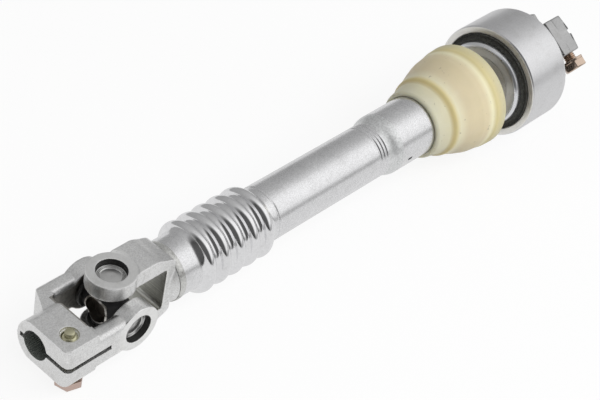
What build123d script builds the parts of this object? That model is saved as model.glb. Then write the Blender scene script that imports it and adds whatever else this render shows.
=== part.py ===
from build123d import *
import math
import os

# Steering universal joint, all sizes in millimetres
# The shaft axis is X, the front clamp mouth is the origin, the rear end lies towards +X

# Layout along the shaft
mouth_to_cross = 46.3
cross_to_cross = 337.0
rear_turn_deg = 32.0

# Ears, cups and cross, shared by all four yokes
ear_r = 12.9
ear_inner = 13.4
ear_face = 22.4
cast_face = ear_face + 0.9
fork_cast_face = ear_face + 0.5
spot_r = ear_r + 0.4
cup_r = 8.0
cup_mouth = 12.6
cup_end = 19.0
cup_wall = 1.25
cup_floor = 1.5
cup_edge = 1.7
dish_r = cup_r - cup_edge
dish_depth = 0.7
roller_r = 0.9
roller_fit = 0.05
trunnion_r = cup_r - cup_wall - 2 * roller_r - roller_fit
roller_count = 18
roller_front = 0.6
roller_back = 0.3
body_gap = 0.3
cross_hub_half = 7.3
cross_rim = 0.9
cross_recess_r = 6.7
cross_recess_depth = 4.0
cross_hub_r = cross_recess_r + cross_rim
shoulder_r = 7.3
shoulder_root_r = 8.8
shoulder_at = 10.9
seal_r = cup_r + 1.5
seal_bevel = 0.4

# Shaft tube
tube_r = 16.0
tube_wall = 2.0
tube_start = 38.5
ring_first = 54.4
ring_pitch = 10.65
ring_count = 5
ring_rise = 4.3
ring_valley_rise = 0.4
ring_half = 2.9
ring_foot = 3.2
groove_first = 191.0
groove_pitch = 2.5
groove_count = 3
groove_round = 0.85
groove_depth = 0.45
flare_start = 198.0
flare_end = 205.5
big_tube_r = 18.05
tube_end = 306.5
slot_depth = 3.0
slot_at = 216.3
slot_angle = 188.7
slot_length = 4.2
slot_width = 1.7

# Tube yokes
front_weld = 4.0
rear_weld = 2.0
front_spigot = 17.5
rear_spigot = 16.5
spigot_wall = 4.0
spigot_floor = 2.0
front_throat = 29.0
rear_throat = 23.5
throat_round = 2.0
collar_lead = 3.0
arm_half = 10.3
arm_back = 19.5
shoulder_run = 7.9
shoulder_drop = 2.7
weld_swell = 0.35

# Clamp yokes
spline_r = 7.9
hub_r = 13.0
hub_half = 12.0
arm_height = 9.8
arm_round = 3.4
block_depth = 8.6
shoulder_lead = 1.5
shoulder_in = 9.0
shoulder_round = 5.0
slit = 2.8
slit_end = 18.2
notch_top = 10.8
notch_depth = 4.0
front_bolt_at = 36.7
bolt_off = 12.4
lug_draft = 1.6
lug_round = 3.5
front_window_floor = 26.0
rear_window_floor = 22.5
rear_bolt_at = 33.5
rear_mouth = 40.0
rear_lug_front = 27.2
rear_lug_top = 21.5
rear_lug_round = 5.0
rear_shoulder_in = 20.5
rear_slit_end = 18.6
window_round = 2.5

# Pinch bolts
thread_r = 4.0
thread_fit = 0.03
bolt_r = thread_r - thread_fit
bolt_hole_r = 4.5
tip_recess_r = 4.8
tip_recess = 1.2
front_bolt_length = 29.6
rear_bolt_length = 25.8
front_bolt_out = 3.6
rear_bolt_out = 2.8
pilot_r = 2.6
pilot_length = 3.0
pilot_bevel = 0.5
head_flats = 13.0
head_height = 4.8
head_bevel = 1.2
head_bevel_in = 0.3
washer_r = 7.2
washer_thick = 1.7
seat_gap = 0.8

# Boot
boot_length = 56.1
boot_gap = 17.0
boot_lip = 0.85
boot_lip_edge = 0.5
boot_lead = 2.4
boot_grip = 8.0
boot_wall = 1.6
boot_mouth_rise = 1.25

# Rubber mounted ring
sleeve_front = 302.7
sleeve_back = 326.0
sleeve_gap = 0.19
sleeve_wall = 1.4
sleeve_bevel = 0.4
sleeve_lip = 0.6
flange_front = 304.2
flange_thick = 1.8
rubber_thick = 4.05
rubber_front = 307.4
rubber_back = 325.4
rubber_dish = 0.8
ring_front = 308.5
ring_back = 343.5
ring_wall = 4.65
ring_bevel = 0.8
ring_back_round = 2.5

# Sizes that follow from the ones above
ring_crest_r = tube_r + ring_rise
ring_valley_r = tube_r + ring_valley_rise
ring_mid_r = (ring_crest_r + ring_valley_r) / 2
front_collar_end = tube_start - front_weld
rear_collar_end = cross_to_cross - tube_end - rear_weld
sleeve_r = math.hypot(fork_cast_face, arm_half) + sleeve_gap + sleeve_wall
ring_inner_r = sleeve_r + rubber_thick
ring_outer_r = ring_inner_r + ring_wall
boot_mouth = sleeve_front - boot_gap
boot_front = boot_mouth - boot_length
boot_neck = boot_front + boot_lead
boot_neck_end = boot_neck + boot_grip

os.makedirs("parts", exist_ok=True)

turn = math.radians(rear_turn_deg)
front_place = Location((mouth_to_cross, 0, 0))
rear_plane = Plane(
    origin=(mouth_to_cross + cross_to_cross, 0, 0),
    x_dir=(-1, 0, 0),
    z_dir=(0, -math.sin(turn), math.cos(turn)),
)
rear_place = rear_plane.location


def save(shape, label, place):
    """Puts a finished piece in its place on the shaft and writes it"""
    placed = shape.moved(place)
    placed.label = label
    export_step(placed, f"parts/{label}.step")
    return placed


# Tube yoke: two ears on Z, a throat between them and a spigot for the tube
def tube_yoke(collar_r, collar_end, throat, spigot_r, spigot):
    spigot_end = collar_end + spigot
    reach = (collar_end - arm_back) / (front_collar_end - arm_back)
    with BuildPart() as yoke:
        with BuildSketch(Plane.XY):
            Circle(ear_r)
            with Locations((collar_end / 2, 0)):
                Rectangle(collar_end, 2 * arm_half)
        extrude(amount=fork_cast_face, both=True)
        with BuildSketch(Plane.XZ):
            with BuildLine():
                Polyline((-ear_r - 1, 0), (-ear_r - 1, fork_cast_face), (arm_back, fork_cast_face))
                Spline(
                    (arm_back, fork_cast_face),
                    (arm_back + shoulder_run * reach, fork_cast_face - shoulder_drop),
                    (collar_end, collar_r),
                    tangents=((1, 0), (0.45, -1)),
                )
                Polyline((collar_end, collar_r), (collar_end, 0), (-ear_r - 1, 0))
            make_face()
            mirror(about=Plane.XZ)
        extrude(amount=ear_r + 1, both=True, mode=Mode.INTERSECT)
        with BuildSketch(Plane.XZ):
            Polygon(
                (collar_end, 0),
                (collar_end, collar_r),
                (collar_end - collar_lead, arm_half),
                (collar_end - collar_lead, 0),
                align=None,
            )
        revolve(axis=Axis.X)
        with BuildSketch(Plane.XZ) as window:
            with Locations(((throat - ear_r - 2) / 2, 0)):
                Rectangle(throat + ear_r + 2, 2 * ear_inner)
            fillet(window.vertices().group_by(Axis.X)[-1], throat_round)
        extrude(amount=collar_r + 5, both=True, mode=Mode.SUBTRACT)
        with BuildSketch(Plane.YZ.offset(collar_end)):
            Circle(spigot_r)
        extrude(amount=spigot_end - collar_end)
        with BuildSketch(Plane.YZ.offset(spigot_end)):
            Circle(spigot_r - spigot_wall)
        extrude(amount=spigot_floor - spigot, mode=Mode.SUBTRACT)
        with BuildSketch(Plane.XY):
            Circle(cup_r)
        extrude(amount=fork_cast_face + 1, both=True, mode=Mode.SUBTRACT)
        for side in (1, -1):
            with BuildSketch(Plane.XY.offset(side * ear_face)):
                Circle(spot_r)
            extrude(amount=side * 5, mode=Mode.SUBTRACT)
    return yoke.part


# Clamp yoke arms: two ears on Y, rounded bars and a solid block with shoulders
def clamp_arms(floor, inner):
    block_end = floor + block_depth
    with BuildPart() as arms:
        with BuildSketch(Plane.YZ):
            with Locations(*[(side * (ear_inner + cast_face) / 2, 0) for side in (1, -1)]):
                RectangleRounded(cast_face - ear_inner, 2 * arm_height, arm_round)
        extrude(amount=-floor)
        with BuildSketch(Plane.YZ.offset(window_round - floor)):
            RectangleRounded(2 * cast_face, 2 * arm_height, arm_round)
        extrude(amount=-window_round - block_depth)
        with BuildSketch(Plane.XY) as outline:
            with BuildLine():
                Polyline(
                    (ear_r, 0),
                    (ear_r, cast_face),
                    (-floor - shoulder_lead, cast_face),
                    (-block_end, inner),
                    (-block_end, 0),
                    (ear_r, 0),
                )
            make_face()
            lead_corner = outline.vertices().sort_by_distance((-floor - shoulder_lead, cast_face))[0]
            fillet(lead_corner, shoulder_round)
            mirror(about=Plane.XZ)
        extrude(amount=ear_r, both=True, mode=Mode.INTERSECT)
        with BuildSketch(Plane.XZ):
            Circle(ear_r)
        extrude(amount=cast_face, both=True)
    return arms.part


# What is machined out of every clamp yoke: window, cup bores, spot faces, splined bore
def clamp_cuts(floor, hub_end):
    with BuildPart() as cuts:
        with BuildSketch(Plane.XY) as window:
            with Locations(((ear_r + 2 - floor) / 2, 0)):
                Rectangle(floor + ear_r + 2, 2 * ear_inner)
            fillet(window.vertices().group_by(Axis.X)[0], window_round)
        extrude(amount=ear_r + 4, both=True)
        with BuildSketch(Plane.XZ):
            Circle(cup_r)
        extrude(amount=cast_face + 1, both=True)
        for side in (1, -1):
            with BuildSketch(Plane.XZ.offset(side * ear_face)):
                Circle(spot_r)
            extrude(amount=side * 5)
        with BuildSketch(Plane.YZ.offset(-floor)):
            Circle(spline_r)
        extrude(amount=-hub_end)
    return cuts.part


# Round hub with two flats, from the mouth to the window
def clamp_hub(mouth, floor, flats):
    with BuildPart() as hub:
        with BuildSketch(Plane.YZ.offset(-mouth)):
            Circle(hub_r)
            Rectangle(*flats, mode=Mode.INTERSECT)
        extrude(amount=mouth - floor)
    return hub.part


# Front clamp yoke: drafted square lug towards -Y, slit on Z = 0
with BuildPart() as front_clamp_yoke:
    add(clamp_arms(front_window_floor, shoulder_in))
    with BuildPart() as front_lug:
        with BuildSketch(Plane.YZ.offset(-mouth_to_cross)):
            with BuildLine():
                Polyline(
                    (0, hub_half),
                    (lug_draft - cast_face, hub_half),
                    (-cast_face, 0),
                    (lug_draft - cast_face, -hub_half),
                    (0, -hub_half),
                    (0, hub_half),
                )
            make_face()
        extrude(amount=mouth_to_cross - front_window_floor)
        mouth_edges = front_lug.edges().group_by(Axis.X)[0]
        fillet(mouth_edges.group_by(Axis.Y)[0], lug_round)
    add(clamp_hub(mouth_to_cross, front_window_floor, (4 * hub_r, 2 * hub_half)))
    add(clamp_cuts(front_window_floor, mouth_to_cross), mode=Mode.SUBTRACT)
    with Locations((-(mouth_to_cross + slit_end) / 2, -hub_r, 0)):
        Box(mouth_to_cross - slit_end, 2 * hub_r, slit, mode=Mode.SUBTRACT)
    with Locations((-(mouth_to_cross + front_window_floor) / 2, notch_top - notch_depth / 2, 0)):
        Box(mouth_to_cross - front_window_floor, notch_depth, slit, mode=Mode.SUBTRACT)
    with Locations((-front_bolt_at, -bolt_off, 0)):
        Cylinder(thread_r, 2 * hub_half, mode=Mode.SUBTRACT)
    with Locations((-front_bolt_at, -bolt_off, -hub_half)):
        Cylinder(bolt_hole_r, 2 * hub_half - slit, mode=Mode.SUBTRACT)
    with Locations((-front_bolt_at, -bolt_off, hub_half)):
        Cylinder(tip_recess_r, 2 * tip_recess, mode=Mode.SUBTRACT)

# Rear clamp yoke: drafted short lug towards +Z of the rear joint, slit on Y = 0
with BuildPart() as rear_clamp_yoke:
    add(clamp_arms(rear_window_floor, rear_shoulder_in))
    with BuildPart() as rear_lug:
        with BuildSketch(Plane.YZ.offset(-rear_mouth)):
            with BuildLine():
                Polyline(
                    (hub_half, 0),
                    (hub_half, rear_lug_top - lug_draft),
                    (0, rear_lug_top),
                    (-hub_half, rear_lug_top - lug_draft),
                    (-hub_half, 0),
                    (hub_half, 0),
                )
            make_face()
        extrude(amount=rear_mouth - rear_lug_front)
        rear_mouth_edges = rear_lug.edges().group_by(Axis.X)[0]
        fillet(rear_mouth_edges.group_by(Axis.Z)[-1], rear_lug_round)
    add(clamp_hub(rear_mouth, rear_window_floor, (2 * hub_half, 4 * hub_r)))
    add(clamp_cuts(rear_window_floor, rear_mouth), mode=Mode.SUBTRACT)
    with Locations((-(rear_mouth + rear_slit_end) / 2, 0, hub_r)):
        Box(rear_mouth - rear_slit_end, slit, 2 * hub_r, mode=Mode.SUBTRACT)
    with BuildSketch(Plane.XZ):
        with Locations((-rear_bolt_at, bolt_off)):
            Circle(thread_r)
    extrude(amount=hub_half, both=True, mode=Mode.SUBTRACT)
    with BuildSketch(Plane.XZ.offset(-slit / 2)):
        with Locations((-rear_bolt_at, bolt_off)):
            Circle(bolt_hole_r)
    extrude(amount=-hub_half, mode=Mode.SUBTRACT)
    with BuildSketch(Plane.XZ.offset(-hub_half)):
        with Locations((-rear_bolt_at, bolt_off)):
            Circle(washer_r + seat_gap)
    extrude(amount=-hub_half, mode=Mode.SUBTRACT)

# Cross: hollow hub along X and four trunnions
with BuildPart() as cross:
    with BuildSketch(Plane.YZ.offset(-cross_hub_half)):
        Circle(cross_hub_r)
    extrude(amount=2 * cross_hub_half)
    for plane in (Plane.XY, Plane.XZ):
        for side in (1, -1):
            with BuildSketch(plane.offset(side * trunnion_r)):
                Circle(shoulder_root_r)
            with BuildSketch(plane.offset(side * shoulder_at)):
                Circle(shoulder_r)
            loft()
        with BuildSketch(plane):
            Circle(trunnion_r)
        extrude(amount=cup_end - cup_floor - body_gap, both=True)
    for end in (1, -1):
        with BuildSketch(Plane.YZ.offset(end * cross_hub_half)):
            Circle(cross_recess_r)
        extrude(amount=-end * cross_recess_depth, mode=Mode.SUBTRACT)

# Bearing cup, drawn along +Z of its own frame
with BuildPart() as cup:
    with BuildSketch(Plane.XY.offset(cup_mouth)):
        Circle(cup_r)
    extrude(amount=cup_end - cup_mouth)
    with BuildSketch(Plane.XY.offset(cup_mouth)):
        Circle(cup_r - cup_wall)
    extrude(amount=cup_end - cup_floor - cup_mouth, mode=Mode.SUBTRACT)
    with BuildSketch(Plane.XY.offset(cup_end)):
        Circle(dish_r)
    extrude(amount=-dish_depth, mode=Mode.SUBTRACT)

# Needle rollers of one cup
with BuildPart() as rollers:
    with BuildSketch(Plane.XY.offset(cup_mouth + roller_front)):
        with PolarLocations((trunnion_r + cup_r - cup_wall) / 2, roller_count):
            Circle(roller_r)
    extrude(amount=cup_end - cup_floor - cup_mouth - roller_front - roller_back)

# Trunnion seal, a rubber ring around the mouth of a cup
with BuildPart() as seal:
    with BuildSketch(Plane.XY.offset(shoulder_at)):
        Circle(seal_r)
    extrude(amount=ear_inner - body_gap - shoulder_at)
    chamfer(seal.edges().filter_by(GeomType.CIRCLE), seal_bevel)
    with BuildSketch(Plane.XY.offset(cup_mouth - body_gap)):
        Circle(cup_r + body_gap)
    extrude(amount=ear_inner, mode=Mode.SUBTRACT)
    with BuildSketch(Plane.XY.offset(shoulder_at)):
        Circle(trunnion_r)
    extrude(amount=ear_inner, mode=Mode.SUBTRACT)


# Weld bead that joins a yoke collar to the tube
def weld_bead(outer_r, inner_r, start, end):
    with BuildPart() as bead:
        with BuildSketch(Plane.XZ):
            with BuildLine():
                Polyline((end, outer_r), (end, inner_r), (start, inner_r), (start, outer_r))
                ThreePointArc(
                    (start, outer_r),
                    ((start + end) / 2, outer_r + weld_swell),
                    (end, outer_r),
                )
            make_face()
        revolve(axis=Axis.X)
    return bead.part


# Hexagon pinch bolt along +Z of its own frame, the seat is at height 0
def pinch_bolt(length, washer):
    head_low = -washer - head_height
    face = head_flats / 2 - head_bevel_in
    with BuildPart() as bolt:
        with BuildSketch(Plane.XY.offset(-washer)):
            RegularPolygon(head_flats / 2, 6, major_radius=False)
        extrude(amount=-head_height)
        with BuildSketch(Plane.XZ):
            with BuildLine():
                Polyline(
                    (face, head_low),
                    (head_flats, head_low),
                    (head_flats, head_low + 4 * head_bevel),
                    (face, head_low),
                )
            make_face()
        revolve(axis=Axis.Z, mode=Mode.SUBTRACT)
        with BuildSketch(Plane.XY.offset(-washer)):
            Circle(bolt_r)
        extrude(amount=length - pilot_length + washer)
        chamfer(bolt.edges().group_by(Axis.Z)[-1], (bolt_r - pilot_r) / 2)
        with BuildSketch(Plane.XY.offset(length - pilot_length)):
            Circle(pilot_r)
        extrude(amount=pilot_length)
        chamfer(bolt.edges().group_by(Axis.Z)[-1], pilot_bevel)
    return bolt.part


with BuildPart() as washer_ring:
    with BuildSketch(Plane.XY.offset(-washer_thick)):
        Circle(washer_r)
        Circle(bolt_r, mode=Mode.SUBTRACT)
    extrude(amount=washer_thick)


# Arcs of the rolled rings as start, middle and end points
def ring_arcs(half, crest, mid, valley):
    arcs = []
    for index in range(ring_count):
        centre = ring_first + index * ring_pitch
        arcs.append(((centre - half, mid), (centre, crest), (centre + half, mid)))
        if index < ring_count - 1:
            low = centre + ring_pitch / 2
            arcs.append(((centre + half, mid), (low, valley), (centre + ring_pitch - half, mid)))
    return arcs


# Shaft tube: rolled rings, three rolled grooves, expanded rear length
last_ring = ring_first + (ring_count - 1) * ring_pitch
crest_lift = ring_crest_r - ring_mid_r
crest_round = (crest_lift**2 + ring_half**2) / (2 * crest_lift)
inner_share = (crest_round - tube_wall) / crest_round
ring_inner_half = ring_half * inner_share
ring_inner_mid_r = ring_crest_r - crest_round + (crest_round - crest_lift) * inner_share
inner_arcs = ring_arcs(
    ring_inner_half,
    ring_crest_r - tube_wall,
    ring_inner_mid_r,
    ring_valley_r - tube_wall,
)
with BuildPart() as shaft_tube:
    with BuildSketch(Plane.XZ):
        with BuildLine():
            foot = ring_first - ring_half - ring_foot
            Polyline((tube_start, tube_r - tube_wall), (tube_start, tube_r), (foot, tube_r))
            Spline(
                (foot, tube_r),
                (ring_first - ring_half, ring_mid_r),
                tangents=((1, 0), (0.35, 1)),
            )
            for begin, middle, end in ring_arcs(
                ring_half, ring_crest_r, ring_mid_r, ring_valley_r
            ):
                ThreePointArc(begin, middle, end)
            back = last_ring + ring_half + ring_foot
            Spline(
                (last_ring + ring_half, ring_mid_r),
                (back, tube_r),
                tangents=((0.35, -1), (1, 0)),
            )
            Line((back, tube_r), (flare_start, tube_r))
            Spline(
                (flare_start, tube_r),
                (flare_end, big_tube_r),
                tangents=((1, 0), (1, 0)),
            )
            Polyline(
                (flare_end, big_tube_r),
                (tube_end, big_tube_r),
                (tube_end, big_tube_r - tube_wall),
                (flare_end, big_tube_r - tube_wall),
                (flare_start, tube_r - tube_wall),
                (last_ring + ring_inner_half + ring_foot, tube_r - tube_wall),
                (last_ring + ring_inner_half, ring_inner_mid_r),
            )
            for begin, middle, end in inner_arcs:
                ThreePointArc(begin, middle, end)
            Polyline(
                (ring_first - ring_inner_half, ring_inner_mid_r),
                (ring_first - ring_inner_half - ring_foot, tube_r - tube_wall),
                (tube_start, tube_r - tube_wall),
            )
        make_face()
    revolve(axis=Axis.X)
    with BuildSketch(Plane.XZ):
        for index in range(groove_count):
            groove_centre = (groove_first + index * groove_pitch, tube_r - groove_depth + groove_round)
            with Locations(groove_centre):
                Circle(groove_round)
    revolve(axis=Axis.X, mode=Mode.SUBTRACT)
    slot_turn = math.radians(slot_angle)
    slot_side = (0, math.cos(slot_turn), math.sin(slot_turn))
    slot_plane = Plane(
        origin=(slot_at, big_tube_r * slot_side[1], big_tube_r * slot_side[2]),
        x_dir=(1, 0, 0),
        z_dir=slot_side,
    )
    with BuildSketch(slot_plane):
        SlotOverall(slot_length, slot_width)
    extrude(amount=slot_depth, both=True, mode=Mode.SUBTRACT)

# Boot: thick neck on the tube and a stepped thin bell, open to the rear
# Each corner of the bell is a share of its length and of its rise above the tube
boot_rise = ring_inner_r + boot_mouth_rise - big_tube_r
boot_steps = (
    (0.029, 0.168),
    (0.196, 0.326),
    (0.225, 0.434),
    (0.310, 0.498),
    (0.471, 0.642),
    (0.517, 0.756),
    (0.649, 0.857),
    (0.809, 0.907),
    (0.866, 0.964),
    (1.0, 1.0),
)


def boot_corner(along, rise, wall):
    return (boot_front + along * boot_length, big_tube_r + rise * boot_rise - wall)


with BuildPart() as boot:
    with BuildSketch(Plane.XZ):
        with BuildLine():
            outer = [boot_corner(*step, 0) for step in boot_steps]
            inner = [boot_corner(*step, boot_wall) for step in boot_steps[2:]]
            Polyline(
                (boot_neck, big_tube_r),
                (boot_front, big_tube_r + boot_lip),
                (boot_front, big_tube_r + boot_lip + boot_lip_edge),
                *outer,
                *inner[::-1],
                (boot_neck_end, inner[0][1] - boot_wall),
                (boot_neck_end, big_tube_r),
                (boot_neck, big_tube_r),
            )
        make_face()
    revolve(axis=Axis.X)

# Inner sleeve of the rubber mounted ring, drawn in one with its flange
with BuildPart() as damper_sleeve:
    with BuildSketch(Plane.XZ):
        with BuildLine():
            Polyline(
                (flange_front, big_tube_r),
                (flange_front, sleeve_r - sleeve_wall),
                (sleeve_front + sleeve_lip, sleeve_r - sleeve_wall),
                (sleeve_front, sleeve_r - sleeve_wall + sleeve_bevel),
                (sleeve_front, sleeve_r - sleeve_bevel),
                (sleeve_front + sleeve_lip, sleeve_r),
                (sleeve_back, sleeve_r),
                (sleeve_back, sleeve_r - sleeve_wall),
                (flange_front + flange_thick, sleeve_r - sleeve_wall),
                (flange_front + flange_thick, big_tube_r),
                (flange_front, big_tube_r),
            )
        make_face()
    revolve(axis=Axis.X)

# Rubber ring, bonded between the sleeve and the outer ring
with BuildPart() as damper_rubber:
    with BuildSketch(Plane.XZ):
        with BuildLine():
            Polyline(
                (rubber_front, ring_inner_r),
                (rubber_back, ring_inner_r),
                (rubber_back, sleeve_r),
                (rubber_front, sleeve_r),
            )
            ThreePointArc(
                (rubber_front, sleeve_r),
                (rubber_front + rubber_dish, (sleeve_r + ring_inner_r) / 2),
                (rubber_front, ring_inner_r),
            )
        make_face()
    revolve(axis=Axis.X)

# Outer ring, thick steel with a rounded rear edge
with BuildPart() as damper_ring:
    with BuildSketch(Plane.YZ.offset(ring_front)):
        Circle(ring_outer_r)
        Circle(ring_inner_r, mode=Mode.SUBTRACT)
    extrude(amount=ring_back - ring_front)
    outer_rims = damper_ring.edges().filter_by(GeomType.CIRCLE).group_by(SortBy.RADIUS)[-1]
    chamfer(outer_rims.sort_by(Axis.X)[0], ring_bevel)
    fillet(outer_rims.sort_by(Axis.X)[-1], ring_back_round)

# Places of the four ears around a cross
ear_places = {
    "top": Location((0, 0, 0), (0, 0, 0)),
    "bottom": Location((0, 0, 0), (180, 0, 0)),
    "left": Location((0, 0, 0), (-90, 0, 0)),
    "right": Location((0, 0, 0), (90, 0, 0)),
}

# Writing of the shaft pieces
save(shaft_tube.part, "shaft_tube", front_place)
save(boot.part, "bell_boot", front_place)
save(damper_sleeve.part, "damper_inner_sleeve", front_place)
save(damper_rubber.part, "damper_rubber_ring", front_place)
save(damper_ring.part, "damper_outer_ring", front_place)
front_tube_yoke = tube_yoke(
    tube_r, front_collar_end, front_throat, tube_r - tube_wall, front_spigot
)
rear_tube_yoke = tube_yoke(
    big_tube_r, rear_collar_end, rear_throat, big_tube_r - tube_wall, rear_spigot
)
save(front_tube_yoke, "front_tube_yoke", front_place)
save(rear_tube_yoke, "rear_tube_yoke", rear_place)
front_bead = weld_bead(tube_r, tube_r - tube_wall, front_collar_end, tube_start)
rear_weld_end = rear_collar_end + rear_weld
rear_bead = weld_bead(big_tube_r, big_tube_r - tube_wall, rear_collar_end, rear_weld_end)
save(front_bead, "front_weld_bead", front_place)
save(rear_bead, "rear_weld_bead", rear_place)

# Writing of the clamp yokes and their bolts
save(front_clamp_yoke.part, "front_clamp_yoke", front_place)
save(rear_clamp_yoke.part, "rear_clamp_yoke", rear_place)
front_bolt_place = front_place * Location(
    (-front_bolt_at, -bolt_off, -hub_half - front_bolt_out)
)
rear_bolt_plane = Plane(
    origin=(-rear_bolt_at, hub_half + rear_bolt_out, bolt_off),
    x_dir=(1, 0, 0),
    z_dir=(0, -1, 0),
)
rear_bolt_place = rear_place * rear_bolt_plane.location
save(pinch_bolt(front_bolt_length, 0), "front_pinch_bolt", front_bolt_place)
save(pinch_bolt(rear_bolt_length, washer_thick), "rear_pinch_bolt", rear_bolt_place)
save(washer_ring.part, "rear_bolt_washer", rear_bolt_place)

# Writing of both crosses with their cups, rollers and seals
for end, joint_place in (("front", front_place), ("rear", rear_place)):
    save(cross.part, f"{end}_cross", joint_place)
    for side, ear_place in ear_places.items():
        place = joint_place * ear_place
        save(cup.part, f"{end}_cup_{side}", place)
        save(rollers.part, f"{end}_rollers_{side}", place)
        save(seal.part, f"{end}_seal_{side}", place)
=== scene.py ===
import math

import bmesh
import bpy
from mathutils import Matrix, Vector


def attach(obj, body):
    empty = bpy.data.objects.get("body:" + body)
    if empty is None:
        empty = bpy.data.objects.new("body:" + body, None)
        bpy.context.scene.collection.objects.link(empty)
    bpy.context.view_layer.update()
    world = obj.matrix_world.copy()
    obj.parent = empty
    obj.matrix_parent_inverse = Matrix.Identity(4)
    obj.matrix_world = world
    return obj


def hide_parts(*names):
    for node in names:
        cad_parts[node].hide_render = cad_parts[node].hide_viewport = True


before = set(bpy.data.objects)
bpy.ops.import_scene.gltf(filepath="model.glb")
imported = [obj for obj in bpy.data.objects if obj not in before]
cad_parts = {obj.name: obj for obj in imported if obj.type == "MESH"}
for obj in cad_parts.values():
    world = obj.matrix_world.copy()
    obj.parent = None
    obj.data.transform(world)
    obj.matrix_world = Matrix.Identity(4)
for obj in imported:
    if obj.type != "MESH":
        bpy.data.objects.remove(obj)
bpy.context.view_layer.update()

# Shaft tube
# One bright zinc plated steel tube, 32 mm across, with five rolled crash rings, three
# narrow rolled grooves and a rear length expanded to 36 mm. A small slot is punched in it.
# Lengths are in millimetres from the middle of the front joint, which is cross_x in the frame.
mm = 0.001
cross_x = 46.3
tube_r = 16.0
big_r = 18.05
fine_turn = 192
crash_pitch = 10.65
crash_centres = [54.4 + crash_pitch * i for i in range(5)]
crash_start, crash_end = 49.5, 104.0
groove_start, groove_pitch, groove_depth = 189.75, 2.5, 0.5
groove_points = 10
flare_start, flare_end = 197.8, 208.2
slot_start, slot_end = 213.2, 216.6
slot_middle_z, slot_half, slot_depth = -1.9, 0.9, 1.5


def arc(cx, cy, radius, start, end, steps):
    """Points of an arc in the length and radius plane, angles in degrees"""
    points = []
    for i in range(steps + 1):
        a = math.radians(start + (end - start) * i / steps)
        points.append((cx + radius * math.cos(a), cy + radius * math.sin(a)))
    return points


def softened(points, radius, steps=4):
    """The same outline with each corner rounded off"""
    out = []
    count = len(points)
    for i in range(count):
        before, here, after = (Vector(points[k % count]) for k in (i - 1, i, i + 1))
        to_before, to_after = before - here, after - here
        reach = min(radius, 0.4 * to_before.length, 0.4 * to_after.length)
        a = here + to_before.normalized() * reach
        b = here + to_after.normalized() * reach
        for k in range(steps + 1):
            t = k / steps
            out.append(tuple(a * (1 - t) ** 2 + here * 2 * t * (1 - t) + b * t * t))
    return out


def finished(name, bm, body, material, replaced, place=None, sharp=40):
    """Makes the object of a finished mesh and fixes it to its body"""
    if place is not None:
        bmesh.ops.transform(bm, matrix=place, verts=bm.verts)
    bmesh.ops.scale(bm, vec=(mm, mm, mm), verts=bm.verts)
    bmesh.ops.translate(bm, vec=(cross_x * mm, 0, 0), verts=bm.verts)
    mesh = bpy.data.meshes.new(name)
    bm.to_mesh(mesh)
    bm.free()
    mesh.polygons.foreach_set("use_smooth", [True] * len(mesh.polygons))
    mesh.set_sharp_from_angle(angle=math.radians(sharp))
    piece = bpy.data.objects.new(name, mesh)
    bpy.context.scene.collection.objects.link(piece)
    mesh.materials.append(material)
    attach(piece, body)
    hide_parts(*replaced)
    return piece


def turned(outline, steps):
    """A closed outline of (length, radius) points turned round the shaft's axis"""
    bm = bmesh.new()
    verts = [bm.verts.new((x, 0, r)) for x, r in outline]
    edges = [bm.edges.new((verts[i - 1], verts[i])) for i in range(len(verts))]
    bmesh.ops.spin(
        bm,
        geom=verts + edges,
        cent=(0, 0, 0),
        axis=(1, 0, 0),
        angle=2 * math.pi,
        steps=steps,
        use_merge=True,
        use_duplicate=False,
    )
    bmesh.ops.remove_doubles(bm, verts=bm.verts, dist=1e-5)
    bmesh.ops.recalc_face_normals(bm, faces=bm.faces)
    return bm


def group_socket(group, name, kind, way, value=None):
    """Adds one input or output to a node group"""
    socket = group.interface.new_socket(name=name, in_out=way, socket_type=kind)
    if value is not None:
        socket.default_value = value


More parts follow.
